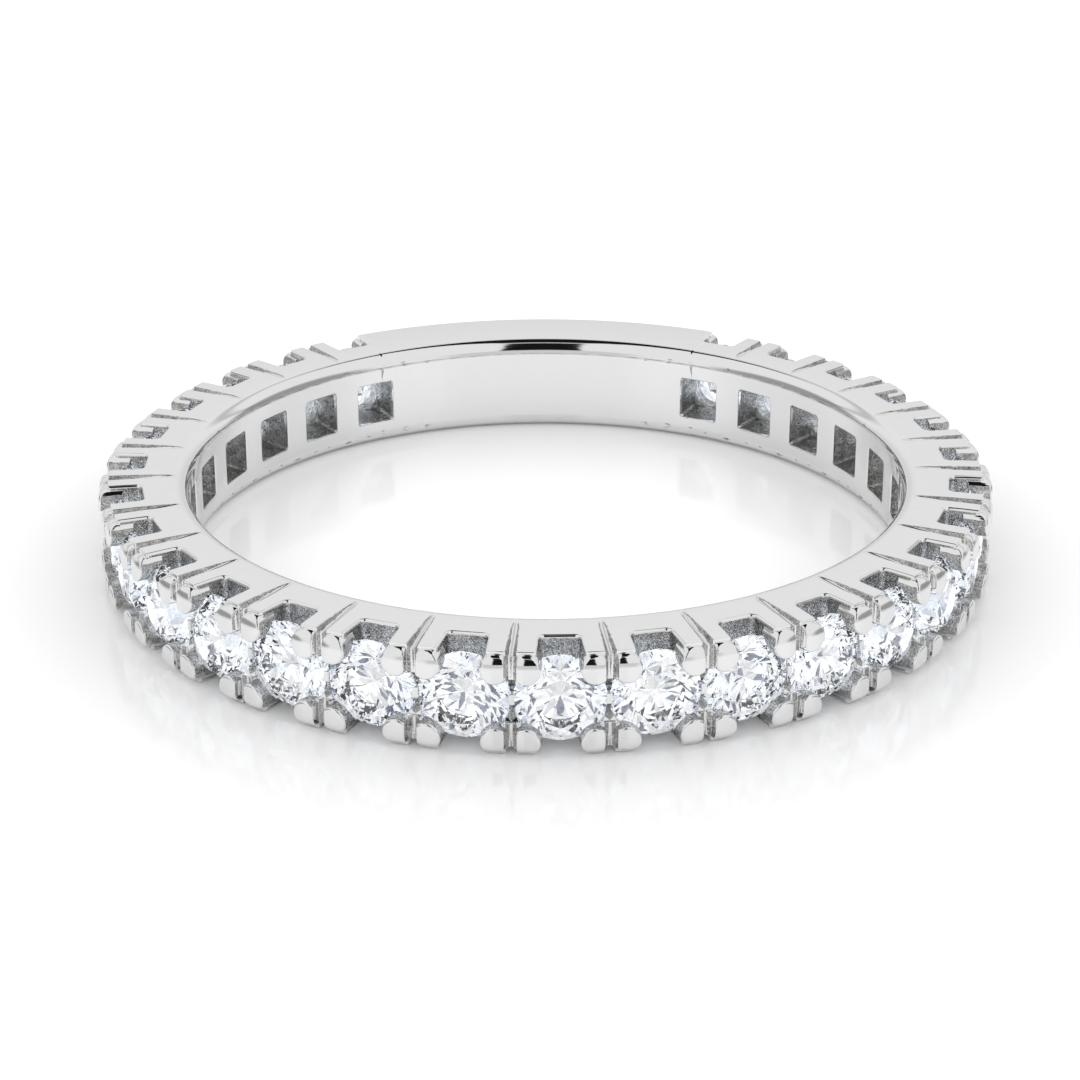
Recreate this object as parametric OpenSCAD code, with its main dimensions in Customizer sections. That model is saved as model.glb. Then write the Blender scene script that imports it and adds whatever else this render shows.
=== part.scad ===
// Eternity ring: one cast band with a row of round brilliants that stops at a
// plain bar at the back. The ring lies on its side, with its axis along Z and
// the middle stone towards -Y. The origin is on the axis, at the resting face.

/* [Band] */
// Bore across the finger
bore_d = 17; // [16:0.5:20]
// Width of the band along the finger
band_w = 2.4; // [2.35:0.05:2.6]
// Thickness from the bore to the outer edge of the arms
arm_t = 1.9; // [1.85:0.05:2]
// Radius of the comfort edge round the bore, on both sides
edge_r = 0.35; // [0.2:0.05:0.4]

/* [Stones] */
// Number of round brilliants, an odd number
stone_count = 27; // [9:2:27]
// Diameter of one stone
stone_d = 1.98; // [1.9:0.02:2.02]
// Space between two neighbouring stones
stone_space = 0.06; // [0.06:0.01:0.12]
// Distance from the bore to the girdle of the stones
girdle_out = 1.6; // [1.55:0.05:1.65]
// Width of the table across its corners
table_d = 1.14; // [1:0.02:1.24]
// Height of the crown above the girdle
crown_h = 0.3; // [0.24:0.02:0.34]
// Thickness of the girdle
girdle_t = 0.07; // [0.05:0.01:0.08]
// Depth of the pavilion below the girdle
pavilion_h = 0.86; // [0.8:0.02:0.92]
// Reach of the lower halves from the girdle to the culet
lower_half_share = 0.77; // [0.7:0.01:0.82]
// Turn of each stone on its own axis from the one before it
stone_turn = 19; // [0:1:44]

/* [Setting] */
// Clearance between a stone and the metal round it
seat_gap = 0.015; // [0.01:0.005:0.02]
// Radius of the round pad that ends each prong
pad_r = 0.32; // [0.3:0.005:0.32]
// How far a pad reaches in over the girdle
pad_hold = 0.19; // [0.18:0.005:0.2]
// How far a pad stands out from the arms
pad_out = 0.16; // [0.12:0.01:0.2]
// Distance of the end of a pad from the side face
pad_drop = 0.1; // [0.08:0.01:0.14]
// Radius of the rounding between its face and that end
pad_roll_r = 0.27; // [0.24:0.01:0.28]
// Space between the pads of two neighbouring cells, inside the groove
pad_space = 0.02; // [0.02:0.01:0.06]
// Width of the groove between two cells
groove_w = 0.26; // [0.22:0.01:0.28]
// Width of the floor of the groove
groove_floor_w = 0.14; // [0.1:0.01:0.16]
// Depth of the groove in the side face, at its outer end
groove_deep = 0.15; // [0.1:0.01:0.2]
// Depth of the groove in the outer face of the arms
groove_in = 0.1; // [0.06:0.01:0.14]
// Distance from the comfort edge to the inner end of the side groove
groove_start = -0.05; // [-0.1:0.01:0.3]
// Width of the notch in the side face at its inner end
notch_in_w = 0.87; // [0.8:0.01:0.92]
// Width of the notch at the outer edge of the arms
notch_out_w = 1; // [0.92:0.02:1.02]
// Distance from the bore to the inner end of the notch
notch_start = 1.1; // [1:0.05:1.15]
// Depth of the notch below the side face
notch_deep = 0.6; // [0.5:0.02:0.62]
// Bevel on the inner corners of the notch
notch_corner = 0.08; // [0.04:0.01:0.12]
// Half height of the hollow between two cells, at its outer end
web_half = 0.5; // [0.46:0.01:0.52]
// Half height of the floor of that hollow, which has sloping ends
web_floor_half = 0.2; // [0.16:0.01:0.22]
// Depth of its floor below the outer face of the arms
web_deep = 0.42; // [0.38:0.01:0.46]
// Width of that hollow
web_w = 0.4; // [0.38:0.02:0.46]
// Width of the post between two stones at mid width
post_w = 0.14; // [0.12:0.01:0.16]
// Half height of that post
post_half = 0.12; // [0.1:0.01:0.14]
// Distance of its face below the outer face of the arms
post_drop = 0.15; // [0.12:0.01:0.17]

/* [Windows] */
// Width of a window in the bore, round the finger
window_w = 1.03; // [0.9:0.01:1.1]
// Height of a window, along the finger
window_h = 1.09; // [0.96:0.01:1.16]
// How far below mid width the windows sit
window_low = 0.05; // [0:0.01:0.08]
// Straight depth of a window before it tapers
window_straight = 0.12; // [0.06:0.02:0.2]
// Depth of a window to the end of its taper
window_deep = 0.7; // [0.6:0.02:0.74]
// Width of the taper at its end
window_end_w = 0.84; // [0.8:0.02:0.9]
// Size of the corner that is taken off the square
window_corner = 0.06; // [0.04:0.01:0.1]
// Diameter of the hole under the stone
azure_d = 0.9; // [0.86:0.02:0.96]

/* [Bar] */
// How far the plain bar stands out from the arms
bar_out = 0.05; // [0.02:0.01:0.12]
// Rounding of the outer edges of the bar
bar_edge_r = 0.12; // [0.06:0.01:0.2]

/* [Hidden] */
bore_r = bore_d / 2;
arm_r = bore_r + arm_t;
bar_r = arm_r + bar_out;
stone_r = stone_d / 2;
girdle_r = bore_r + girdle_out;
table_r = table_d / 2;
half = band_w / 2;

// Points between the stars and the upper halves of a crown: distance from the
// stone's axis, and height above the girdle
star_r = (table_r * cos(22.5) + stone_r) / 2;
star_h = main_height(star_r * cos(22.5), table_r, crown_h);

// Turn from one cell to the next, and of the last cell from the middle one
pitch = 2 * atan((stone_r + stone_space / 2) / girdle_r);
last_turn = pitch * (stone_count - 1) / 2;

// Middle of a pad: its distance from the cell boundary, from the plane through
// the stone's axis, from the stone's axis itself and from mid width
pad_off = pad_r + pad_space / 2;
pad_side = arm_r * tan(pitch / 2) - pad_off / cos(pitch / 2);
pad_reach = stone_r - pad_hold + pad_r;
pad_mid = sqrt(max(0.01, pow(pad_reach, 2) - pow(pad_side, 2)));
pad_foot_r = girdle_r - girdle_t;
pad_face_r = arm_r + pad_out;
pad_end = half - pad_drop;

// The bar starts this turn beyond the middle of the last stone, inside the
// space that its drill and notch clear
bar_lap = 2;

// How far cutters run past the faces that they open
past = 0.4;
$fn = 48;

function stone_name(i) = str("stone_", i < 10 ? "0" : "", i);
function stone_angle(i) = (i - (stone_count + 1) / 2) * pitch;

// Frame of a cell: X runs round the ring, Y along its axis from mid width and
// Z outward from its axis, at the given turn from the middle stone
module cell_frame(turn) {
    rotate([0, 0, turn]) translate([0, 0, half]) rotate([90, 0, 0]) children();
}

// The same shape in the frame of every cell
module each_cell() {
    for (i = [1 : stone_count]) cell_frame(stone_angle(i)) children();
}

// The same shape in the frame of every boundary between two cells
module each_boundary() {
    for (i = [1 : stone_count - 1]) cell_frame(stone_angle(i) + pitch / 2) children();
}

// A shape and its mirror image across mid width
module both_sides() {
    children();
    mirror([0, 1, 0]) children();
}

// Section of a flat ring, from one radius to another, with each side rounded
module ring_section(r_in, r_out, round_in, round_out) {
    middle_in = r_in + round_in;
    middle_w = r_out - round_out - middle_in;
    translate([middle_in, 0]) square([middle_w, band_w]);
    if (round_in > 0) {
        translate([r_in, round_in]) square([round_in * 1.5, band_w - 2 * round_in]);
        for (y = [round_in, band_w - round_in])
            translate([middle_in, y]) circle(round_in);
    }
    if (round_out > 0) {
        translate([r_out - round_out * 1.5, round_out])
            square([round_out * 1.5, band_w - 2 * round_out]);
        for (y = [round_out, band_w - round_out])
            translate([r_out - round_out, y]) circle(round_out);
    }
}

// Plain ring that the cells are cut from
module blank() {
    rotate_extrude($fn = 180) ring_section(bore_r, arm_r, edge_r, 0);
}

// Plain bar at the back
module bar() {
    bar_turn = 360 - 2 * (last_turn + bar_lap);
    rotate([0, 0, 90 - bar_turn / 2])
        rotate_extrude(angle = bar_turn, $fn = 180)
            ring_section(bore_r + 2 * edge_r, bar_r, 0, bar_edge_r);
}

// Drilled hole that lets a stone down to its seat. It is a little narrower
// than the seat, which undercuts the prongs.
module drill() {
    translate([0, 0, girdle_r])
        cylinder(r = stone_r + seat_gap / 2, h = arm_t);
}

// Section of a pad across its face, with its end towards the side face rounded
module pad_section() {
    tip = pad_mid - pad_r - past;
    foot_r = pad_foot_r - past;
    roll = pad_end - pad_roll_r;
    translate([roll, pad_face_r - pad_roll_r]) circle(pad_roll_r);
    polygon([
        [tip, foot_r],
        [pad_end, foot_r],
        [pad_end, pad_face_r - pad_roll_r],
        [roll, pad_face_r - pad_roll_r],
        [roll, pad_face_r],
        [tip, pad_face_r]
    ]);
}

// One prong: a pad that is round as seen from outside
module pad() {
    intersection() {
        translate([0, pad_mid, pad_foot_r])
            cylinder(r = pad_r, h = pad_face_r + past - pad_foot_r);
        rotate([90, 0, 90])
            linear_extrude(2 * pad_r + past, center = true)
                pad_section();
    }
}

// The two prongs at one end of a cell
module end_prongs() {
    rotate([0, pitch / 2, 0])
        translate([-pad_off, 0, 0])
            both_sides() pad();
}

// The four prongs of one cell
module prongs() {
    end_prongs();
    mirror([1, 0, 0]) end_prongs();
}

// Hollow for one stone: girdle, crown and pavilion with their clearance, and
// the round hole under it
module seat() {
    r = stone_r + seat_gap;
    hole_r = azure_d / 2;
    above = girdle_t / 2 + seat_gap;
    slope = pavilion_h / stone_r;
    rotate_extrude()
        polygon([
            [0, bore_r + window_straight * 2],
            [hole_r, bore_r + window_straight * 2],
            [hole_r, girdle_r - above - slope * (r - hole_r)],
            [r, girdle_r - above],
            [r, girdle_r + above],
            [star_r + seat_gap, girdle_r + above + star_h],
            [table_r + seat_gap, girdle_r + above + crown_h],
            [0, girdle_r + above + crown_h]
        ]);
}

// Section of a window through its depth, drawn out to the given length
module window_section(w, length) {
    rotate([90, 0, 0])
        linear_extrude(length, center = true)
            polygon([
                [-w / 2, bore_r - past],
                [w / 2, bore_r - past],
                [w / 2, bore_r + window_straight],
                [window_end_w / 2, bore_r + window_deep],
                [-window_end_w / 2, bore_r + window_deep],
                [-w / 2, bore_r + window_straight]
            ]);
}

// Square window in the bore, tapering, with its corners taken off
module window() {
    corner_r = norm([window_w / 2 - window_corner, window_h / 2]);
    translate([0, -window_low, 0])
        intersection() {
            window_section(window_w, band_w);
            rotate([0, 0, 90]) window_section(window_h, band_w);
            cylinder(r = corner_r, h = arm_r);
        }
}

// Notch in both side faces, open outward
module notch() {
    start = bore_r + notch_start;
    end = arm_r + past;
    slope = (notch_out_w - notch_in_w) / 2 / (arm_r - start);
    in = notch_in_w / 2;
    out = in + slope * (end - start);
    corner = notch_corner;
    both_sides()
        translate([0, half - notch_deep, 0])
            rotate([-90, 0, 0])
                linear_extrude(notch_deep + past)
                    polygon([
                        [in - corner, -start],
                        [in + slope * corner, -start - corner],
                        [out, -end],
                        [-out, -end],
                        [-in - slope * corner, -start - corner],
                        [corner - in, -start]
                    ]);
}

// Channel between two cells in both side faces, deeper towards the outside
module side_groove() {
    start = bore_r + edge_r + groove_start;
    run = arm_r - start;
    tilt = atan(groove_deep / run);
    slope = (groove_w - groove_floor_w) / 2 / groove_deep;
    floor_half = groove_floor_w / 2;
    height = groove_deep + past / 2;
    both_sides()
        translate([0, half, start])
            rotate([tilt, 0, 0])
                linear_extrude(run + past)
                    polygon([
                        [-floor_half, 0],
                        [floor_half, 0],
                        [floor_half + slope * height, height],
                        [-floor_half - slope * height, height]
                    ]);
}

// Channel between the prongs of two cells, along the outside
module outer_groove() {
    floor_half = groove_floor_w / 2;
    floor_r = arm_r - groove_in;
    rotate([90, 0, 0])
        linear_extrude(band_w + past, center = true)
            polygon([
                [-floor_half, floor_r],
                [floor_half, floor_r],
                [groove_w / 2, arm_r],
                [groove_w / 2, arm_r + past],
                [-groove_w / 2, arm_r + past],
                [-groove_w / 2, arm_r]
            ]);
}

// Hollow between the stones of two cells, at mid width, with ends that slope
// at 45 degrees
module web_gap() {
    floor_r = arm_r - web_deep;
    end_r = floor_r + web_half - web_floor_half;
    rotate([90, 0, 90])
        linear_extrude(web_w, center = true)
            polygon([
                [-web_floor_half, floor_r],
                [web_floor_half, floor_r],
                [web_half, end_r],
                [web_half, arm_r + past],
                [-web_half, arm_r + past],
                [-web_half, end_r]
            ]);
}

// Post that stands in the hollow, in front of the girdles of both stones
module post() {
    foot_r = arm_r - web_deep - post_w / 2;
    translate([-post_w / 2, -post_half, foot_r])
        cube([post_w, 2 * post_half, arm_r - post_drop - foot_r]);
}

// The one-piece band with its setting
module band() {
    color("gainsboro")
        difference() {
            union() {
                difference() {
                    union() {
                        blank();
                        bar();
                    }
                    each_cell() notch();
                    each_cell() drill();
                    each_boundary() web_gap();
                }
                each_cell() prongs();
                each_boundary() post();
            }
            each_cell() seat();
            each_cell() window();
            each_boundary() side_groove();
            each_boundary() outer_groove();
        }
}

// Height on the plane of a crown or pavilion main at a distance from the
// stone's axis, measured along the middle of that facet
function main_height(x, inner_r, inner_h) =
    inner_h * (stone_r - x) / (stone_r - inner_r);

// A point at a turn and distance from the stone's axis
function spot(turn, r, z) = [r * cos(turn), r * sin(turn), z];

// Height where the plane through the corner, the next corner and the tip of a
// half facet passes the girdle between the two corners
function half_height(tip_r, tip_h) =
    tip_h * (cos(11.25) - 1) / (tip_r / stone_r - cos(11.25));

// Round brilliant, with its axis along Z and the middle of its girdle at 0
module brilliant() {
    up = girdle_t / 2;
    low_r = stone_r * (1 - lower_half_share);
    low_h = main_height(low_r * cos(22.5), 0, pavilion_h);
    crown_dip = half_height(star_r, star_h);
    pavilion_dip = half_height(low_r, low_h);
    function dip(k, depth) = k % 2 == 1 ? depth : 0;
    points = concat(
        [for (k = [0 : 7]) spot(45 * k, table_r, up + crown_h)],
        [for (k = [0 : 7]) spot(45 * k + 22.5, star_r, up + star_h)],
        [for (k = [0 : 31]) spot(11.25 * k, stone_r, up - dip(k, crown_dip))],
        [for (k = [0 : 31]) spot(11.25 * k, stone_r, dip(k, pavilion_dip) - up)],
        [for (k = [0 : 7]) spot(45 * k + 22.5, low_r, -up - low_h)],
        [[0, 0, -up - pavilion_h]]
    );
    function table(k) = k % 8;
    function star(k) = 8 + (k + 8) % 8;
    function upper(k) = 16 + (k + 32) % 32;
    function lower(k) = 48 + (k + 32) % 32;
    function low(k) = 80 + (k + 8) % 8;
    culet = 88;
    faces = concat(
        [[for (k = [7 : -1 : 0]) table(k)]],
        [for (k = [0 : 7]) [table(k), table(k + 1), star(k)]],
        [for (k = [0 : 7]) [star(k - 1), table(k), star(k), upper(4 * k)]],
        [for (k = [0 : 7]) [star(k), upper(4 * k + 2), upper(4 * k + 1), upper(4 * k)]],
        [for (k = [0 : 7]) [star(k), upper(4 * k + 4), upper(4 * k + 3), upper(4 * k + 2)]],
        [for (k = [0 : 31]) [upper(k), upper(k + 1), lower(k + 1), lower(k)]],
        [for (k = [0 : 7]) [low(k), lower(4 * k), lower(4 * k + 1), lower(4 * k + 2)]],
        [for (k = [0 : 7]) [low(k), lower(4 * k + 2), lower(4 * k + 3), lower(4 * k + 4)]],
        [for (k = [0 : 7]) [culet, low(k - 1), lower(4 * k), low(k)]]
    );
    polyhedron(points = points, faces = faces, convexity = 2);
}

// One stone in its place, counted from the left of the bar round the front
module stone(i) {
    color("aliceblue")
        cell_frame(stone_angle(i))
            translate([0, 0, girdle_r])
                rotate([0, 0, 90 + stone_turn * (i - (stone_count + 1) / 2)])
                    brilliant();
}

band();
for (i = [1 : stone_count])
    stone(i);
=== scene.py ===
import bpy
import math
import numpy as np
from mathutils import Matrix, Vector


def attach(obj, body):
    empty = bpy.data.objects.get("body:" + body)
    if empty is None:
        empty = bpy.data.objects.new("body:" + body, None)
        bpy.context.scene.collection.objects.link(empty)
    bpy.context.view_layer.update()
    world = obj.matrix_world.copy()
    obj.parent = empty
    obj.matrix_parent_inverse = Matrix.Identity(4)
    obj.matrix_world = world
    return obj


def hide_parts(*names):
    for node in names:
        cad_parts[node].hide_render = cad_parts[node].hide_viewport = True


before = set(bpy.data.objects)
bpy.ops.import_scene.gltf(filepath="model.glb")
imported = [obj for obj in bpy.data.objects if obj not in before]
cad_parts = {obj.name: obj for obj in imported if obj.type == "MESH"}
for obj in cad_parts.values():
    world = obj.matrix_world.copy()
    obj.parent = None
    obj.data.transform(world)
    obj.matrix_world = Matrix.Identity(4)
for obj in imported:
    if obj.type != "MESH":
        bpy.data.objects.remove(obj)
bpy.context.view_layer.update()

# All sizes are in millimetres and all angles in radians, unless a name says
# otherwise. The band's own frame has X to the right, Y away from the camera
# and Z along the ring's axis. In the frame of one cell, x runs round the
# ring, y along its axis from mid width and z outward from that axis.
MM = 0.001

# Band
HALF = 1.2
BORE_R = 8.5
ARM_R = 10.4
ARM_EDGE_R = 0.015
SIDE_CROWN_R = 45.0
SIDE_MIDDLE_R = 9.45
COMFORT_R = 0.35

# Stones
STONE_COUNT = 27
STONE_R = 0.99
STONE_SPACE = 0.06
GIRDLE_R = 10.1
GIRDLE_T = 0.07
TABLE_R = 0.57
CROWN_H = 0.3
PAVILION_H = 0.86
SEAT_GAP = 0.015

# Cells of the setting
PITCH = 2 * math.atan((STONE_R + STONE_SPACE / 2) / GIRDLE_R)
LAST_TURN = PITCH * (STONE_COUNT - 1) / 2
NOTCH_START = 1.1
NOTCH_DEEP = 0.6
NOTCH_IN = 0.435
NOTCH_OUT = 0.5
NOTCH_CORNER_R = 0.12
NOTCH_FLOOR_R = 0.06
NOTCH_RIM_R = 0.07
GROOVE_HALF = 0.13
GROOVE_FLOOR_HALF = 0.05
GROOVE_CORNER_R = 0.04
GROOVE_ROUND_R = 0.11
GROOVE_DEEP = 0.15
GROOVE_IN = 0.1
GROOVE_START = 0.3
WEB_HALF_W = 0.2
WEB_HALF_H = 0.5
WEB_FLOOR_HALF_H = 0.2
WEB_FLOOR_R = 9.98
POST_HALF_W = 0.07
POST_HALF_H = 0.12
POST_FOOT_R = 9.91
POST_FACE_R = 10.25

# Prongs: each ends in a pad. Its middle is placed from the cell boundary and from mid width, and
# PAD_SIDE is its distance from the plane through the stone's axis.
PAD_R = 0.32
PAD_HOLD = 0.21
PAD_FACE_R = ARM_R + 0.24
PAD_END = HALF - 0.07
PAD_ROLL_R = 0.27
PAD_OFF = 0.33
PAD_SIDE = ARM_R * math.tan(PITCH / 2) - PAD_OFF / math.cos(PITCH / 2)
PAD_MID = math.sqrt((STONE_R - PAD_HOLD + PAD_R) ** 2 - PAD_SIDE ** 2)
PAD_FOOT_R = GIRDLE_R - GIRDLE_T
PAD_CROWN_R = 1.4
PAD_RIM_R = 0.05
PAD_BLEND_R = 0.03

# Windows in the bore
WINDOW_W = 0.515
WINDOW_H = 0.545
WINDOW_END = 0.42
WINDOW_LOW = 0.05
WINDOW_STRAIGHT = 0.12
WINDOW_DEEP = 0.7
WINDOW_CORNER_R = 0.09
AZURE_R = 0.45

# Bar at the back
BAR_R = 10.45
BAR_EDGE_R = 0.12
BAR_LAP = math.radians(2)
BAR_BLEND_R = 0.03

# Soft rims of the cut edges
RIM_R = 0.03
FINE_RIM_R = 0.02

# Surface grid: its spacing, its margin in spacings, and the share of a half cell that it keeps at
# the bar's end before BAR_STEPS widening steps of turn, up to BAR_STEP, cross the bar
GRID = 0.02
GRID_MARGIN = 3
BAR_FINE_SHARE = 1.4
BAR_STEPS = 70
BAR_STEP = 0.012

# Triangles of a half cell and of a bar end, how points settle on the surface, and how patches join
HALF_CELL_TRIANGLES = 3200
BAR_TRIANGLES = 10000
SLOPE_STEP = 0.001
SLOPE_FLOOR = 0.25
NORMAL_INSET = 0.12
WELD_REACH = 0.002
IN_PLANE = 1e-9
JOIN_DECIMALS = 5

# Camera: place from the middle of the ring, view angles, and the lens, its sensor and its near and
# far ends in metres
CAMERA_DISTANCE = 64.96
CAMERA_HEIGHT = 27.603
CAMERA_PITCH = math.radians(23.63)
CAMERA_YAW = -0.0021
RING_TURN = math.radians(1.77)
LENS = 97.56
SENSOR = 36
CLIP_START = 0.001
CLIP_END = 10

# Floor: its half width in metres, its tone, what lights it, and its painted glow towards the lens, which
# grows with the distance from the ring of radius GLOW_RING_R, so that it is weaker near the ring as a
# painted shadow
FLOOR_HALF = 2.0
FLOOR_TONE = 0.86
FLOOR_ROUGHNESS = 0.08
FLOOR_LIGHT = 1.4
GLOW_NEAR_PAINTED_SHADOW = 0.1
GLOW_FAR = 0.25
GLOW_RING_R = 9.5
GLOW_FROM = 1.2
GLOW_TO = 8.0

# Studio: its brightness and its dark opening, walls, lines and flags. Angles are turns up from the
# front horizon, and half widths are the sideways part of a direction.
STUDIO_LEVEL = 1.0
DARK_FROM = math.radians(26)
DARK_TO = math.radians(136)
DARK_EDGE = math.radians(2)
DARK_WIDE = 0.22
DARK_NARROW = 0.1
DARK_SIDE_EDGE = 0.015
DARK_DEPTH = 0.99
LIGHT_BAR = math.radians(90)
LIGHT_BAR_HALF = math.radians(4)
LIGHT_BAR_LEVEL = 0.6
FRONT_WALL_LEVEL = 0.76
FRONT_WALL_HALF_W = 0.5
FRONT_WALL_EDGE = 0.1
FAINT_LINE = math.radians(142)
FAINT_LINE_REACH = math.radians(7)
FAINT_LINE_DEPTH = 0.35
BACK_WALL_LEVEL = 0.85
BACK_WALL_TOP = math.radians(163)
BACK_WALL_EDGE = math.radians(9)
FLAG_FROM = 0.86
FLAG_EDGE = 0.06
FLAG_DEPTH = 0.6

# Polished metal: two tones, the scales of its swell and haze, and its roughness
POLISH_LOW = (0.925, 0.925, 0.93)
POLISH_HIGH = (0.965, 0.965, 0.965)
SWELL_SCALE = 500.0
SWELL_STRENGTH = 0.04
SWELL_DEPTH = 0.0001
HAZE_SCALE = 2600.0
POLISH_ROUGHNESS = 0.035
HAZE_ROUGHNESS = 0.05

# Cast metal, whose dark pits paint shade in the recesses, groove walls and pad outlines: tones of its
# pits and grains, their scales and share, and its roughness
PIT_AND_SHADE_TONE = (0.17, 0.167, 0.16)
GRAIN_TONE = (0.86, 0.855, 0.84)
GRAIN_SCALE = 26000.0
PIT_SCALE = 5000.0
GRAIN_SHARE = 0.7
SPOTS_FROM = 0.36
SPOTS_TO = 0.62
GRAIN_STRENGTH = 0.9
GRAIN_DEPTH = 0.00002
PIT_ROUGHNESS = 0.45
SPOTS_POLISH = 0.3

# Bright cut metal: its tone, the scale of its chatter and its roughness
CUT_TONE = (0.95, 0.96, 0.98)
CHATTER_SCALE = 4000.0
CUT_ROUGHNESS = 0.15
CHATTER_ROUGHNESS = 0.2

# Painted glow of the cut and the cast metal, seen only through a stone, in place of the light they throw
# into it
SEAT_PAINTED_GLOW = (0.8, 0.84, 0.9)
RECESS_PAINTED_GLOW = (0.6, 0.66, 0.76)

# Stone: its tone and how strongly it bends light
STONE_TONE = (0.985, 0.99, 1)
STONE_INDEX = 2.42

# What the stones see: panels of a random tone each, as a share of all and its colour
PANEL_SCALE = 3.2
PANEL_LEVEL = 1.15
PANELS = [
    (0.0, (0.09, 0.115, 0.17)),
    (0.24, (0.46, 0.52, 0.65)),
    (0.38, (0.86, 0.9, 0.98)),
    (0.5, (1, 1, 1)),
]

# Outputs of the Light Path and Texture Coordinate nodes, and the colour sockets of the Mix node
LENS_RAY = 0
SPREAD_RAY = 2
THROUGH_RAY = 6
WORLD_WAY = 0
OBJECT_PLACE = 3
MIX_COLOURS = (6, 7)
MIX_RESULT = 2

# Finishes of the band, in the order of its materials
POLISHED = 0
# the cast finish is dark metal laid as painted shade in recesses, groove walls and pad outlines
CAST_AND_PAINTED_SHADE = 1
BRIGHT_CUT = 2


def camera():
    """Looks at the ring from the photo's angle, turned a little round the ring's axis."""
    data = bpy.data.cameras.new("camera")
    data.lens = LENS
    data.sensor_width = SENSOR
    data.clip_start = CLIP_START
    data.clip_end = CLIP_END
    ob = bpy.data.objects.new("camera", data)
    bpy.context.scene.collection.objects.link(ob)
    turn = Matrix.Rotation(-RING_TURN, 4, "Z")
    place = Matrix.Translation(Vector((0, -CAMERA_DISTANCE, CAMERA_HEIGHT + HALF)) * MM)
    look = Matrix.Rotation(-CAMERA_YAW, 4, "Z") @ Matrix.Rotation(math.pi / 2 - CAMERA_PITCH, 4, "X")
    ob.matrix_world = turn @ place @ look
    bpy.context.scene.camera = ob


def soft_max(a, b, r):
    """What two solids share, from their signed distances, with the edge between them rounded to
    radius r. A distance is less than nothing inside."""
    over = np.hypot(np.maximum(a + r, 0), np.maximum(b + r, 0))
    return np.minimum(np.maximum(a, b), -r) + over


def soft_min(a, b, r):
    """Two solids joined, with the corner between them filled to radius r."""
    return -soft_max(-a, -b, r)


def cut(solid, tool, r):
    """A solid less a tool, with the rim of the cut rounded to radius r."""
    return soft_max(solid, -tool, r)


def ring(r, y, outer_r, outer_edge_r):
    """Distance to a flat ring with a comfort edge round its bore. It is the half space inside the
    outer radius, between the side faces and outside the bore. The side faces are crowned by a
    hundredth of a millimetre, as polishing leaves them."""
    crown = (r - SIDE_MIDDLE_R) ** 2 / (2 * SIDE_CROWN_R)
    outside = soft_max(r - outer_r, np.abs(y) - HALF + crown, outer_edge_r)
    return soft_max(outside, BORE_R - r, COMFORT_R)


def notch(x, y, z):
    """Distance to the notches in both side faces: outside a back wall, between two side walls that
    open outward, and above a floor."""
    start = BORE_R + NOTCH_START
    slope = (NOTCH_OUT - NOTCH_IN) / (ARM_R - start)
    side = (np.abs(x) - NOTCH_IN - slope * (z - start)) / math.hypot(1, slope)
    walls = soft_max(start - z, side, NOTCH_CORNER_R)
    return soft_max(walls, HALF - NOTCH_DEEP - np.abs(y), NOTCH_FLOOR_R)


def drill(x, y, z):
    """Distance to the round hole above the girdle of a stone."""
    return np.maximum(np.hypot(x, y) - STONE_R - SEAT_GAP / 2, GIRDLE_R - z)


def seat(x, y, z):
    """Distance to the turned hollow that clears a stone: a cylinder at the girdle, cones along the
    crown and the pavilion, and the round hole under it."""
    out = np.hypot(x, y)
    up = z - GIRDLE_R
    r = STONE_R + SEAT_GAP
    above = GIRDLE_T / 2 + SEAT_GAP
    star_r = (TABLE_R * math.cos(math.pi / 8) + STONE_R) / 2
    star_h = CROWN_H * (STONE_R - star_r * math.cos(math.pi / 8)) / (STONE_R - TABLE_R)
    slope = PAVILION_H / STONE_R
    hollow = np.maximum(out - r, (-above - slope * (r - out) - up) / math.hypot(1, slope))
    profile = [(r, above), (star_r + SEAT_GAP, above + star_h), (TABLE_R + SEAT_GAP, above + CROWN_H)]
    for (r0, h0), (r1, h1) in zip(profile, profile[1:]):
        run, rise = r0 - r1, h1 - h0
        hollow = np.maximum(hollow, ((out - r0) * rise + (up - h0) * run) / math.hypot(run, rise))
    hollow = np.maximum(hollow, up - above - CROWN_H)
    hole = np.maximum(np.maximum(out - AZURE_R, BORE_R + 2 * WINDOW_STRAIGHT - z), up)
    return np.minimum(hollow, hole)


def window(x, y, z):
    """Distance to a square window that narrows with its depth from the bore."""
    deep = np.clip((z - BORE_R - WINDOW_STRAIGHT) / (WINDOW_DEEP - WINDOW_STRAIGHT), 0, 1)
    across = np.abs(x) - WINDOW_W - (WINDOW_END - WINDOW_W) * deep
    along = np.abs(y + WINDOW_LOW) - WINDOW_H - (WINDOW_END - WINDOW_H) * deep
    return soft_max(soft_max(across, along, WINDOW_CORNER_R), z - BORE_R - WINDOW_DEEP, RIM_R)


def grooves(x, y, z):
    """Distance to the channels between two cells: one in each side face, which deepens outward, and
    one along the outside. x and z are measured at the boundary of the cells."""
    start = BORE_R + GROOVE_START
    deep = (z - start) * GROOVE_DEEP / (ARM_R - start)
    slope = (GROOVE_HALF - GROOVE_FLOOR_HALF) / GROOVE_DEEP
    above = np.abs(y) - HALF + deep
    side_wall = (np.abs(x) - GROOVE_FLOOR_HALF - slope * above) / math.hypot(1, slope)
    side = soft_max(-above, side_wall, GROOVE_CORNER_R)
    slope = (GROOVE_HALF - GROOVE_FLOOR_HALF) / GROOVE_IN
    above = z - ARM_R + GROOVE_IN
    outer_wall = (np.abs(x) - GROOVE_FLOOR_HALF - slope * above) / math.hypot(1, slope)
    outer_wall = np.maximum(outer_wall, np.abs(x) - GROOVE_HALF)
    return np.minimum(side, soft_max(-above, outer_wall, GROOVE_ROUND_R))


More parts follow.
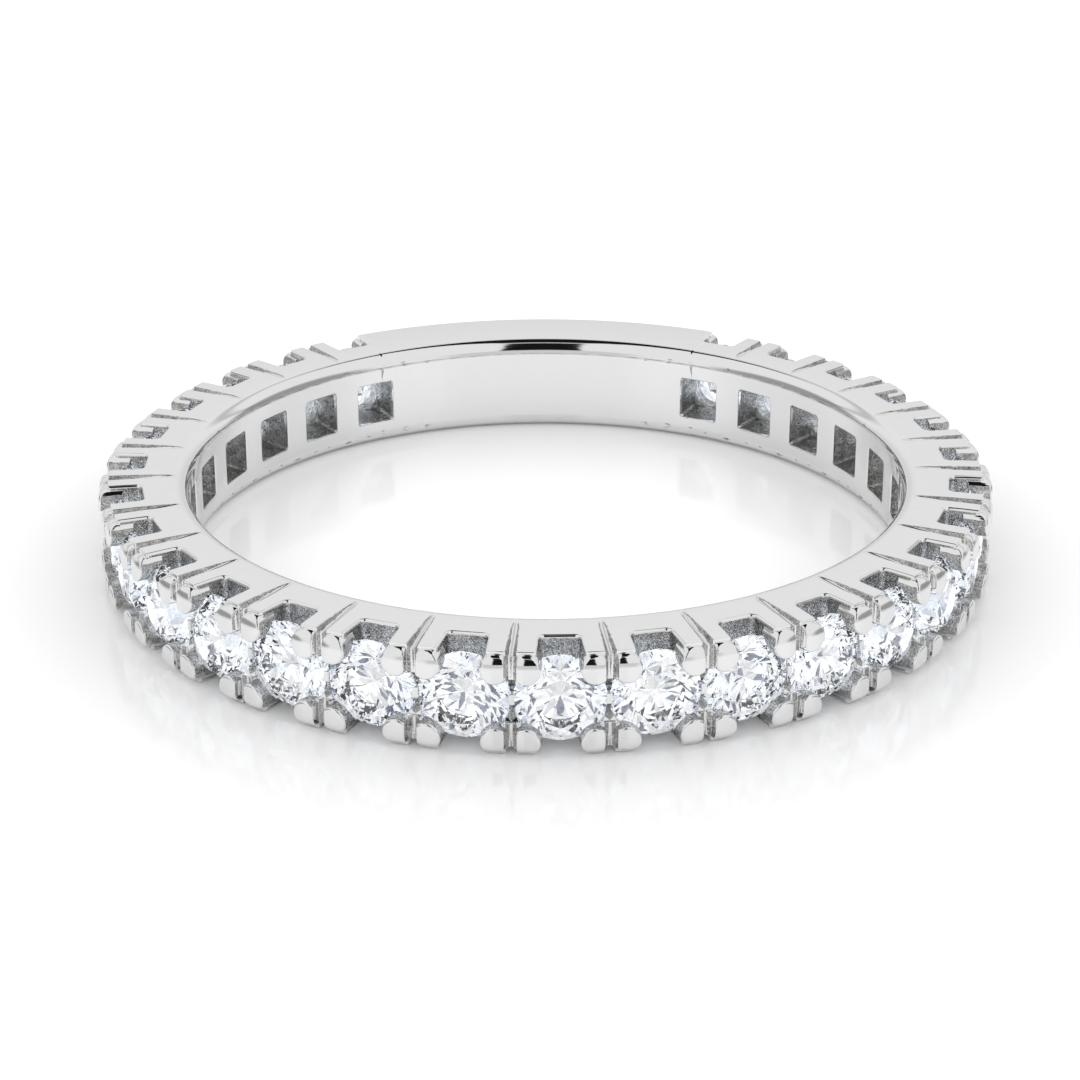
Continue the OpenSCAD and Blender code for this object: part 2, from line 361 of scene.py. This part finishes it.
def web_gap(x, y, z):
    """Distance to the hollow between two stones at mid width. Its ends slope at 45 degrees."""
    beside = np.maximum(np.abs(x) - WEB_HALF_W, np.abs(y) - WEB_HALF_H)
    above = z - WEB_FLOOR_R
    return np.maximum(np.maximum(beside, -above), (np.abs(y) - WEB_FLOOR_HALF_H - above) / math.sqrt(2))


def post(x, y, z):
    """Distance to the small post in that hollow, a box in front of the girdles of both stones."""
    beside = np.maximum(np.abs(x) - POST_HALF_W, np.abs(y) - POST_HALF_H)
    return np.maximum(beside, np.maximum(POST_FOOT_R - z, z - POST_FACE_R))


def prong(x, y, z):
    """Distance to the pads of one side of a cell. A pad is round as seen from outside, its face is
    crowned sideways and rolls over towards the side face, and its rim is soft."""
    aside = x + PAD_OFF
    outline = np.hypot(aside, np.abs(y) - PAD_MID) - PAD_R
    face = z + aside ** 2 / (2 * PAD_CROWN_R) - PAD_FACE_R
    section = soft_max(face, np.abs(y) - PAD_END, PAD_ROLL_R)
    return np.maximum(soft_max(outline, section, PAD_RIM_R), PAD_FOOT_R - z)


def band(x, y, z, at_bar=False):
    """Signed distance to the metal in the frame of a cell, for the half of it towards the next cell
    or, at_bar, towards the bar."""
    r = np.hypot(x, z)
    c, s = math.cos(PITCH / 2), math.sin(PITCH / 2)
    edge_x, edge_z = x * c - z * s, x * s + z * c
    metal = ring(r, y, ARM_R, ARM_EDGE_R)
    if at_bar:
        end = z * math.sin(BAR_LAP) - x * math.cos(BAR_LAP)
        bar = soft_max(ring(r, y, BAR_R, BAR_EDGE_R), end, BAR_BLEND_R)
        metal = soft_min(metal, bar, BAR_BLEND_R)
    else:
        edge_x = -np.abs(edge_x)
    metal = cut(cut(metal, notch(x, y, z), NOTCH_RIM_R), drill(x, y, z), FINE_RIM_R)
    if not at_bar:
        metal = cut(metal, web_gap(edge_x, y, edge_z), FINE_RIM_R)
        metal = soft_min(metal, post(edge_x, y, edge_z), FINE_RIM_R)
    metal = soft_min(metal, prong(edge_x, y, edge_z), PAD_BLEND_R)
    if not at_bar:
        metal = cut(metal, grooves(edge_x, y, edge_z), FINE_RIM_R)
    metal = cut(metal, seat(x, y, z), FINE_RIM_R / 2)
    return cut(metal, window(x, y, z), RIM_R)


def bar_end(x, y, z):
    """Signed distance to the metal from the middle of the last cell on."""
    return band(x, y, z, at_bar=True)


def slope_of(field, points):
    """The gradient of a field, from its difference over a small step each way along each axis."""
    slopes = np.empty_like(points)
    for axis in range(3):
        aside = np.zeros(3)
        aside[axis] = SLOPE_STEP
        slopes[:, axis] = (field(*(points + aside).T) - field(*(points - aside).T)) / (2 * SLOPE_STEP)
    return slopes


def settle(field, points, steps=3):
    """Moves points onto the surface, each step by the field's value down its slope."""
    for _ in range(steps):
        slope = slope_of(field, points)
        size = np.maximum((slope * slope).sum(1), SLOPE_FLOOR)
        reach = np.clip(field(*points.T), -GRID, GRID)
        points = points - (reach / size)[:, None] * slope
    return points


def skin(field, turns):
    """The surface where a field is nothing, over a grid of turn, y and radius. Each grid cell that it
    passes gets a point, at the mean of the places where the cell's edges cross it, and each crossed
    edge gets a face between the four cells round it. The outermost cells straddle the two end
    planes, so that the points there lie on them."""
    ys = np.arange(-HALF - (GRID_MARGIN - 1) * GRID, HALF + (GRID_MARGIN - 0.5) * GRID, GRID)
    rs = np.arange(BORE_R - GRID_MARGIN * GRID, PAD_FACE_R + GRID_MARGIN * GRID, GRID)
    grid = (turns, ys, rs)
    t, y, r = np.meshgrid(*grid, indexing="ij")
    value = field(r * np.sin(t), y, r * np.cos(t))
    inside = value < 0
    cells = np.array(value.shape) - 1
    total = np.zeros((*cells, 3))
    crossings = np.zeros(cells)
    faces = []
    for axis in range(3):
        low = tuple(slice(0, -1) if k == axis else slice(None) for k in range(3))
        high = tuple(slice(1, None) if k == axis else slice(None) for k in range(3))
        crossed = inside[low] != inside[high]
        spot = np.argwhere(crossed)
        share = value[low][crossed] / (value[low][crossed] - value[high][crossed])
        place = np.stack([grid[k][spot[:, k]] for k in range(3)], 1)
        place[:, axis] += share * (grid[axis][spot[:, axis] + 1] - grid[axis][spot[:, axis]])
        around = np.repeat(spot[:, None, :], 4, 1)
        around[:, :, (axis + 1) % 3] -= (1, 0, 0, 1)
        around[:, :, (axis + 2) % 3] -= (1, 1, 0, 0)
        within = ((around >= 0) & (around < cells)).all(2)
        for corner in range(4):
            ok = within[:, corner]
            cell = tuple(around[ok, corner].T)
            np.add.at(total, cell, place[ok])
            np.add.at(crossings, cell, 1)
        outward = inside[low][crossed]
        around = np.where(outward[:, None, None], around, around[:, ::-1])
        faces.append(around[within.all(1)])
    faces = np.concatenate(faces)
    corners = tuple(faces.reshape(-1, 3).T)
    used = np.zeros(cells, bool)
    used[corners] = True
    number = np.cumsum(used.ravel()).reshape(used.shape) - 1
    turn, along, out = (total[used] / crossings[used][:, None]).T
    points = np.stack([out * np.sin(turn), along, out * np.cos(turn)], 1)
    return settle(field, points), number[corners].reshape(-1, 4)


def new_mesh(name, points, faces):
    """A mesh from arrays of points and of faces with as many corners each."""
    mesh = bpy.data.meshes.new(name)
    mesh.vertices.add(len(points))
    mesh.vertices.foreach_set("co", np.ascontiguousarray(points, np.float32).ravel())
    mesh.loops.add(faces.size)
    mesh.loops.foreach_set("vertex_index", np.ascontiguousarray(faces, np.int32).ravel())
    mesh.polygons.add(len(faces))
    mesh.polygons.foreach_set("loop_start", np.arange(0, faces.size, faces.shape[1], dtype=np.int32))
    mesh.update(calc_edges=True)
    return mesh


def thin(points, faces, triangles, held):
    """The same surface with about so many triangles. Points that are held keep their place."""
    mesh = new_mesh("draft", points, faces)
    ob = bpy.data.objects.new("draft", mesh)
    bpy.context.scene.collection.objects.link(ob)
    group = ob.vertex_groups.new(name="free")
    group.add(np.flatnonzero(~held).tolist(), 1.0, "REPLACE")
    collapse = ob.modifiers.new("collapse", "DECIMATE")
    collapse.ratio = triangles / (len(faces) * (faces.shape[1] - 2))
    collapse.use_collapse_triangulate = True
    collapse.vertex_group = "free"
    done = ob.evaluated_get(bpy.context.evaluated_depsgraph_get()).to_mesh()
    done.calc_loop_triangles()
    points = np.empty(len(done.vertices) * 3, np.float32)
    done.vertices.foreach_get("co", points)
    corners = np.empty(len(done.loop_triangles) * 3, np.int32)
    done.loop_triangles.foreach_get("vertices", corners)
    bpy.data.objects.remove(ob)
    bpy.data.meshes.remove(mesh)
    return points.reshape(-1, 3).astype(float), corners.reshape(-1, 3)


def off_plane(points, turn):
    """Distance of points from the plane through the ring's axis at a turn."""
    return points[:, 0] * math.cos(turn) - points[:, 2] * math.sin(turn)


def onto_plane(points, picked, turn):
    """Moves the picked points into the plane through the ring's axis at a turn."""
    square = np.array([math.cos(turn), 0, -math.sin(turn)])
    points[picked] -= off_plane(points[picked], turn)[:, None] * square


def sides(corners):
    """The three sides of each triangle, as pairs of points in its order."""
    return np.concatenate([corners[:, [0, 1]], corners[:, [1, 2]], corners[:, [2, 0]]])


def uncollapsed(corners):
    """The triangles that still have three different points."""
    a, b, c = corners.T
    return corners[(a != b) & (b != c) & (c != a)]


def on_rim(corners, count):
    """Which of so many points lie on an edge that only one triangle has."""
    edges, uses = np.unique(np.sort(sides(corners), 1), axis=0, return_counts=True)
    rim = np.zeros(count, bool)
    rim[edges[uses == 1].ravel()] = True
    return rim


def weld(points, corners):
    """Joins the two points of each edge that is shorter than WELD_REACH, and drops the triangles that
    this leaves flat or back to back."""
    edges = np.unique(np.sort(sides(corners), 1), axis=0)
    short = np.linalg.norm(points[edges[:, 0]] - points[edges[:, 1]], axis=1) < WELD_REACH
    keeper = np.arange(len(points))
    for kept, dropped in edges[short]:
        keeper[keeper == keeper[dropped]] = keeper[kept]
    corners = uncollapsed(keeper[corners])
    _, which, uses = np.unique(np.sort(corners, 1), axis=0, return_inverse=True, return_counts=True)
    return corners[uses[which.ravel()] == 1]


def close_slits(corners):
    """The triangles that fill the slits of three open edges in a surface. Each runs round its slit
    against the triangles beside it."""
    taken = set(map(tuple, sides(corners).tolist()))
    following = {b: a for a, b in taken if (b, a) not in taken}
    slits = {tuple(sorted((a, b, following.get(b)))): (a, b, following.get(b))
             for a, b in following.items() if following.get(following.get(b)) == a}
    return np.array(list(slits.values()), int).reshape(-1, 3)


def near(points, others):
    """For each point, which of the others is nearest."""
    return np.linalg.norm(points[:, None] - others[None], axis=2).argmin(1)


def patch(field, turns, end_turn, triangles, seam=None):
    """The surface between the planes at turn 0 and at end_turn, thinned. Where a seam is given, its
    points take the place of the nearest ones in the plane at turn 0, so that two patches meet point
    to point. Returns points, triangles, the unit normal at each corner, and each triangle's finish.
    """
    points, faces = skin(field, turns)
    corners = faces[:, [0, 1, 2, 0, 2, 3]].reshape(-1, 3)
    held = np.zeros(len(points), bool)
    if seam is not None:
        rim = np.flatnonzero(on_rim(corners, len(points)) & (np.abs(off_plane(points, 0)) < GRID / 4))
        nearest = near(points[rim], seam)
        nearest[near(seam, points[rim])] = np.arange(len(seam))
        keeper = np.arange(len(points))
        first = {}
        for point, place in zip(rim, nearest):
            keeper[point] = first.setdefault(place, point)
            points[keeper[point]] = seam[place]
        held[list(first.values())] = True
        corners = uncollapsed(keeper[corners])
        kept = np.unique(corners)
        number = np.zeros(len(points), int)
        number[kept] = np.arange(len(kept))
        points, held, corners = points[kept], held[kept], number[corners]
    points, corners = thin(points, corners, triangles, held)
    rim = on_rim(corners, len(points))
    at_start = rim & (np.abs(off_plane(points, 0)) < GRID)
    at_end = rim & ~at_start
    nearest = None if seam is None else near(points[at_start], seam)
    in_end_plane = at_end[corners].all(1)
    if seam is None:
        in_end_plane |= at_start[corners].all(1)
    corners = corners[~in_end_plane]
    points = settle(field, points)
    onto_plane(points, at_start, 0)
    onto_plane(points, at_end, end_turn)
    if seam is not None:
        points[at_start] = seam[nearest]
    corners = weld(points, corners)
    corner_points = points[corners]
    middle = corner_points.mean(1, keepdims=True)
    spots = (corner_points + NORMAL_INSET * (middle - corner_points)).reshape(-1, 3)
    normals = slope_of(field, settle(field, spots, 1)).reshape(-1, 3, 3)
    for picked, turn in ((at_start, 0), (at_end, end_turn)):
        square = np.array([math.cos(turn), 0, -math.sin(turn)])
        flat = normals - (normals @ square)[..., None] * square
        normals = np.where(picked[corners][..., None], flat, normals)
    normals /= np.linalg.norm(normals, axis=2, keepdims=True)
    return points, corners, normals, finish_of(middle[:, 0])


def finish_of(points):
    """The finish at points of the surface: bright cut on the cone that carries a stone, and dark cast
    metal as painted shade well below the faces of the uncut ring, on the low sides of the pads as a
    painted dark outline and on the walls of the grooves as painted dark stripes. The rest is polished."""
    x, y, z = points.T
    c, s = math.cos(PITCH / 2), math.sin(PITCH / 2)
    edge_x, edge_z = -np.abs(x * c - z * s), x * s + z * c
    below = ring(np.hypot(x, z), y, ARM_R, ARM_EDGE_R)
    beside = (np.abs(edge_x) > GROOVE_HALF + FINE_RIM_R) | (below < -GROOVE_DEEP - FINE_RIM_R)
    # dark cast metal well below the faces: painted shade in the recesses
    deep = (below < -NOTCH_RIM_R) & beside & (np.abs(prong(edge_x, y, edge_z)) > FINE_RIM_R)
    outline = np.hypot(edge_x + PAD_OFF, np.abs(y) - PAD_MID) - PAD_R
    # a thin ring round each pad's foot in dark cast metal: a painted dark outline
    pad_outline_shade = (np.abs(outline) < FINE_RIM_R / 2) & (z < PAD_FACE_R - 2 * PAD_RIM_R)
    deep |= pad_outline_shade & (np.abs(y) < PAD_END - PAD_ROLL_R / 2)
    # the walls of the grooves in dark cast metal: painted dark stripes
    groove_wall_shade = (np.abs(edge_x) > GROOVE_FLOOR_HALF) & (np.abs(edge_x) < GROOVE_HALF - FINE_RIM_R / 2)
    deep |= groove_wall_shade & (np.abs(grooves(edge_x, y, edge_z)) < FINE_RIM_R / 2)
    on_cone = (np.abs(seat(x, y, z)) < FINE_RIM_R) & (np.hypot(x, y) > AZURE_R + RIM_R)
    return np.where(on_cone, BRIGHT_CUT, np.where(deep, CAST_AND_PAINTED_SHADE, POLISHED))


def cast_band():
    """The whole band: each half cell is the same patch, turned or mirrored into place, and the two
    bar ends are mirror images. Points that meet are joined, and slits at the seams are closed."""
    half_turn = PITCH / 2
    fine = half_turn / round(half_turn * ARM_R / GRID)
    turns = np.arange(-0.5, half_turn / fine + 1) * fine
    cell = patch(band, turns, half_turn, HALF_CELL_TRIANGLES)
    rim = on_rim(cell[1], len(cell[0]))
    seam = cell[0][rim & (np.abs(cell[0][:, 0]) < IN_PLANE)]
    bar_turn = math.pi - LAST_TURN
    turns = np.arange(-0.5, BAR_FINE_SHARE * half_turn / fine) * fine
    steps = np.geomspace(fine, BAR_STEP, BAR_STEPS)
    steps *= (bar_turn - turns[-1]) / (steps.sum() - steps[-1] / 2)
    turns = np.concatenate([turns, turns[-1] + np.cumsum(steps)])
    bar = patch(bar_end, turns, bar_turn, BAR_TRIANGLES, seam)
    places, corners, normals, finishes = [], [], [], []
    last = (STONE_COUNT - 1) // 2
    count = 0
    for i in range(-last, last + 1):
        for side in (-1, 1):
            part = bar if i * side == last else cell
            turn = np.array([[math.cos(i * PITCH), math.sin(i * PITCH), 0], [0, 0, 1],
                             [math.sin(i * PITCH), -math.cos(i * PITCH), 0]])
            turn[0] *= side
            order = [0, 1, 2] if side > 0 else [0, 2, 1]
            places.append(part[0] @ turn + (0, 0, HALF))
            corners.append(part[1][:, order] + count)
            normals.append(part[2][:, order] @ turn)
            finishes.append(part[3])
            count += len(part[0])
    places = np.concatenate(places)
    key = np.round(places, JOIN_DECIMALS) + 0.0
    _, first, number = np.unique(key, axis=0, return_index=True, return_inverse=True)
    places = places[first]
    corners = number.ravel()[np.concatenate(corners)]
    slits = close_slits(corners)
    a, b, c = (places[slits[:, k]] for k in range(3))
    square = np.cross(b - a, c - a)
    square /= np.linalg.norm(square, axis=1, keepdims=True)
    normals.append(np.repeat(square[:, None], 3, 1))
    finishes.append(np.full(len(slits), POLISHED))
    used, corners = np.unique(np.concatenate([corners, slits]), return_inverse=True)
    corners = corners.reshape(-1, 3)
    mesh = new_mesh("cast_band", places[used] * MM, corners)
    mesh.polygons.foreach_set("material_index", np.concatenate(finishes).astype(np.int32))
    mesh.polygons.foreach_set("use_smooth", np.ones(len(corners), bool))
    mesh.normals_split_custom_set(np.concatenate(normals).reshape(-1, 3).tolist())
    ob = bpy.data.objects.new("cast_band", mesh)
    bpy.context.scene.collection.objects.link(ob)
    return ob


class Sock:
    """A socket whose arithmetic adds Math nodes."""

    def __init__(self, nodes, socket):
        self.nodes, self.socket = nodes, socket

    def _math(self, operation, *values):
        return self.nodes.add("ShaderNodeMath", {"operation": operation}, *values)

    def __add__(self, other):
        return self._math("ADD", self, other)

    def __sub__(self, other):
        return self._math("SUBTRACT", self, other)

    def __rsub__(self, other):
        return self._math("SUBTRACT", other, self)

    def __mul__(self, other):
        return self._math("MULTIPLY", self, other)

    def __truediv__(self, other):
        return self._math("DIVIDE", self, other)

    __radd__ = __add__
    __rmul__ = __mul__


class Nodes:
    """Makes the nodes of one tree."""

    def __init__(self, tree):
        self.tree = tree
        tree.nodes.clear()

    def add(self, kind, settings=None, *values, output=0, **named):
        """A node of a kind, with its settings and then the values or links of its sockets, in order
        or by name. Returns one of its outputs."""
        node = self.tree.nodes.new(kind)
        for key, value in (settings or {}).items():
            setattr(node, key, value)
        for key, value in [*enumerate(values), *named.items()]:
            socket = node.inputs[key if isinstance(key, int) else key.replace("_", " ")]
            if isinstance(value, Sock):
                self.tree.links.new(value.socket, socket)
            else:
                socket.default_value = value
        return Sock(self, node.outputs[output] if node.outputs else None)


def blend(n, factor, first, second):
    """A colour between two, by a factor."""
    mix = n.add("ShaderNodeMix", {"data_type": "RGBA"}, Factor=factor, output=MIX_RESULT)
    for index, colour in zip(MIX_COLOURS, (first, second)):
        mix.socket.node.inputs[index].default_value = (*colour, 1)
    return mix


def object_place(n):
    """The place of a point in its object's own frame."""
    return n.add("ShaderNodeTexCoord", None, output=OBJECT_PLACE)


def ray(n, kind):
    """One for rays of a kind, and nothing for all others."""
    return n.add("ShaderNodeLightPath", None, output=kind)


def distance_from(n, value, middle):
    """How far a value is from a middle, either way."""
    return n.add("ShaderNodeMath", {"operation": "ABSOLUTE"}, value - middle)


def material(name):
    """A new material and the nodes of its tree."""
    mat = bpy.data.materials.new(name)
    mat.use_nodes = True
    return mat, Nodes(mat.node_tree)


def polished_metal():
    """Rhodium-bright polish with the faint unevenness that hand polishing leaves: a slow swell in the
    bump, and a fine haze that comes and goes in the roughness."""
    mat, n = material("polished_white_metal")
    place = object_place(n)
    swell = n.add("ShaderNodeTexNoise", None, Vector=place, Scale=SWELL_SCALE, Detail=1.0)
    haze = n.add("ShaderNodeTexNoise", None, Vector=place, Scale=HAZE_SCALE, Detail=3.0, Roughness=0.6)
    rough = POLISH_ROUGHNESS + haze * HAZE_ROUGHNESS
    tone = blend(n, haze, POLISH_LOW, POLISH_HIGH)
    bump = n.add("ShaderNodeBump", None, Height=swell, Strength=SWELL_STRENGTH, Distance=SWELL_DEPTH)
    shader = n.add("ShaderNodeBsdfPrincipled", None, Base_Color=tone, Metallic=1.0, Roughness=rough,
                   Normal=bump)
    n.add("ShaderNodeOutputMaterial", None, shader)
    return mat


def painted_glow_in_stone(n, colour):
    """Colour of a painted glow on metal, in place of the light it throws into a stone, and nowhere else:
    it counts only for what is seen through the stone."""
    return blend(n, ray(n, THROUGH_RAY), (0, 0, 0), colour)


def cast_metal_and_painted_shade():
    """As-cast skin inside the notches and windows, darkened there and on the groove walls and pad
    outlines
    as painted shade: grains a few hundredths of a millimetre across, small bright facets between duller,
    very dark pits."""
    mat, n = material("cast_metal_painted_shade")
    place = object_place(n)
    grain = n.add("ShaderNodeTexNoise", None, Vector=place, Scale=GRAIN_SCALE, Detail=3.0, Roughness=0.7)
    pits = n.add("ShaderNodeTexNoise", None, Vector=place, Scale=PIT_SCALE, Detail=2.0)
    mixed = grain * GRAIN_SHARE + pits * (1 - GRAIN_SHARE)
    spots = n.add("ShaderNodeMapRange", None, mixed, SPOTS_FROM, SPOTS_TO, 0.0, 1.0)
    bump = n.add("ShaderNodeBump", None, Height=grain, Strength=GRAIN_STRENGTH, Distance=GRAIN_DEPTH)
    # the very dark pit tone paints the shade of the recesses
    tone = blend(n, spots, PIT_AND_SHADE_TONE, GRAIN_TONE)
    rough = PIT_ROUGHNESS - spots * SPOTS_POLISH
    # a painted glow, seen only through the stones, in place of light the metal throws into them
    shader = n.add("ShaderNodeBsdfPrincipled", None, Base_Color=tone, Metallic=1.0, Roughness=rough,
                   Normal=bump, Emission_Color=painted_glow_in_stone(n, RECESS_PAINTED_GLOW), Emission_Strength=1.0)
    n.add("ShaderNodeOutputMaterial", None, shader)
    return mat


def bright_cut_metal():
    """The cone cut for each stone, with a painted glow, seen only through the stone, in place of the
    light its fresh cut throws back into it.
    """
    mat, n = material("bright_cut_seat")
    chatter = n.add("ShaderNodeTexNoise", None, Vector=object_place(n), Scale=CHATTER_SCALE, Detail=2.0)
    rough = CUT_ROUGHNESS + chatter * CHATTER_ROUGHNESS
    shader = n.add("ShaderNodeBsdfPrincipled", None, Base_Color=(*CUT_TONE, 1), Metallic=1.0,
                   Roughness=rough, Emission_Color=painted_glow_in_stone(n, SEAT_PAINTED_GLOW), Emission_Strength=1.0)
    n.add("ShaderNodeOutputMaterial", None, shader)
    return mat


def diamond():
    """Clear stone of a brilliant's bending power, the faintest shade cooler than white. Its detail is
    in its facets."""
    mat, n = material("clear_diamond")
    shader = n.add("ShaderNodeBsdfPrincipled", None, Base_Color=(*STONE_TONE, 1), Roughness=0.0,
                   IOR=STONE_INDEX, Transmission_Weight=1.0)
    n.add("ShaderNodeOutputMaterial", None, shader)
    return mat


def smooth(n, value, low, high, before, after):
    """A level that changes smoothly while a value goes from low to high."""
    how = {"interpolation_type": "SMOOTHSTEP"}
    return n.add("ShaderNodeMapRange", how, value, low, high, before, after)


def step_between(n, value, middle, reach, before, after):
    """A smooth step of a value from one level to another."""
    return smooth(n, value, middle - reach, middle + reach, before, after)


def floor():
    """White gloss board. It has a painted glow towards the lens alone, so that the ground stays white
    while the metal mirrors its true tone, and the glow is weaker near the ring as a painted shadow round
    it."""
    mat, n = material("white_gloss_floor")
    board = n.add("ShaderNodeBsdfPrincipled", None, Base_Color=(FLOOR_TONE, FLOOR_TONE, FLOOR_TONE, 1),
                  Roughness=FLOOR_ROUGHNESS)
    out = n.add("ShaderNodeVectorMath", {"operation": "LENGTH"}, object_place(n), output=1)
    past = distance_from(n, out, GLOW_RING_R * MM)
    # less painted glow near the ring: a painted shadow round it
    painted_glow_level = smooth(n, past, GLOW_FROM * MM, GLOW_TO * MM, GLOW_NEAR_PAINTED_SHADOW, GLOW_FAR)
    glow = n.add("ShaderNodeEmission", None, Strength=ray(n, LENS_RAY) * painted_glow_level)
    n.add("ShaderNodeOutputMaterial", None, n.add("ShaderNodeAddShader", None, board, glow))
    square = np.array([(-1, -1, 0), (1, -1, 0), (1, 1, 0), (-1, 1, 0)]) * FLOOR_HALF
    mesh = new_mesh("floor", square, np.array([[0, 1, 2, 3]]))
    ob = bpy.data.objects.new("floor", mesh)
    bpy.context.scene.collection.objects.link(ob)
    mesh.materials.append(mat)


def surroundings():
    """A white studio with a light grey front wall and a back wall that darkens towards the ground.
    Over the camera is a dark opening: from above the front wall to well behind the top, narrow
    overhead where a thin light bar crosses it, with a faint line behind it. Grey flags stand at both
    sides. The floor is lit more evenly, without them. What shines into the stones is white with
    blue-grey panels."""
    world = bpy.data.worlds.new("studio")
    bpy.context.scene.world = world
    world.use_nodes = True
    n = Nodes(world.node_tree)
    way = n.add("ShaderNodeTexCoord", None, output=WORLD_WAY)
    parts = n.add("ShaderNodeSeparateXYZ", None, way).socket.node
    x, y, z = (Sock(n, parts.outputs[i]) for i in range(3))
    up = n.add("ShaderNodeMath", {"operation": "ARCTAN2"}, z, y * -1)
    low = step_between(n, up, DARK_FROM, DARK_EDGE, 0.0, 1.0)
    high = step_between(n, up, DARK_TO, DARK_EDGE, 1.0, 0.0)
    aside = n.add("ShaderNodeMath", {"operation": "ABSOLUTE"}, x)
    past_bar = distance_from(n, up, LIGHT_BAR)
    half_w = n.add("ShaderNodeMapRange", None, past_bar, 0.0, LIGHT_BAR - DARK_FROM, DARK_NARROW,
                   DARK_WIDE)
    within = step_between(n, aside - half_w, 0.0, DARK_SIDE_EDGE, 1.0, 0.0)
    clear = step_between(n, past_bar, LIGHT_BAR_HALF, DARK_EDGE / 2, 1 - LIGHT_BAR_LEVEL, 1.0)
    wall = step_between(n, aside, FRONT_WALL_HALF_W, FRONT_WALL_EDGE, FRONT_WALL_LEVEL, 1.0)
    front = step_between(n, up, DARK_FROM, DARK_EDGE, wall, 1.0)
    back = step_between(n, up, BACK_WALL_TOP, BACK_WALL_EDGE, 1.0, BACK_WALL_LEVEL)
    line = smooth(n, distance_from(n, up, FAINT_LINE), 0.0, FAINT_LINE_REACH, 1 - FAINT_LINE_DEPTH, 1.0)
    flag = step_between(n, aside, FLAG_FROM, FLAG_EDGE, 1.0, 1 - FLAG_DEPTH)
    mirror = (1 - low * high * within * clear * DARK_DEPTH) * front * back * line * flag
    spread = ray(n, SPREAD_RAY)
    level = mirror * (1 - spread) * STUDIO_LEVEL + spread * FLOOR_LIGHT
    studio = n.add("ShaderNodeBackground", None, Strength=level)
    panels = n.add("ShaderNodeTexVoronoi", None, Vector=way, Scale=PANEL_SCALE, output=1)
    pick = Sock(n, n.add("ShaderNodeSeparateXYZ", None, panels).socket.node.outputs[0])
    ramp = n.add("ShaderNodeValToRGB", None, pick)
    stops = ramp.socket.node.color_ramp
    stops.interpolation = "CONSTANT"
    while len(stops.elements) < len(PANELS):
        stops.elements.new(0.5)
    for stop, (place, tone) in zip(stops.elements, PANELS):
        stop.position = place
        stop.color = (*tone, 1)
    sparkle = n.add("ShaderNodeBackground", None, ramp, PANEL_LEVEL)
    seen = n.add("ShaderNodeMixShader", None, ray(n, THROUGH_RAY), studio, sparkle)
    n.add("ShaderNodeOutputWorld", None, seen)


def tracing():
    """Enough bounces for the light inside a brilliant, and plain display colours."""
    bpy.context.scene.view_settings.view_transform = "Standard"
    cycles = bpy.context.scene.cycles
    cycles.max_bounces = 24
    cycles.transmission_bounces = 20
    cycles.glossy_bounces = 8
    cycles.diffuse_bounces = 4


camera()
metal = polished_metal()
piece = cast_band()
for finish in (metal, cast_metal_and_painted_shade(), bright_cut_metal()):
    piece.data.materials.append(finish)
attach(piece, "root")
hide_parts("band")
stone = diamond()
for name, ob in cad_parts.items():
    ob.data.materials.clear()
    ob.data.materials.append(metal if name == "band" else stone)
floor()
surroundings()
tracing()
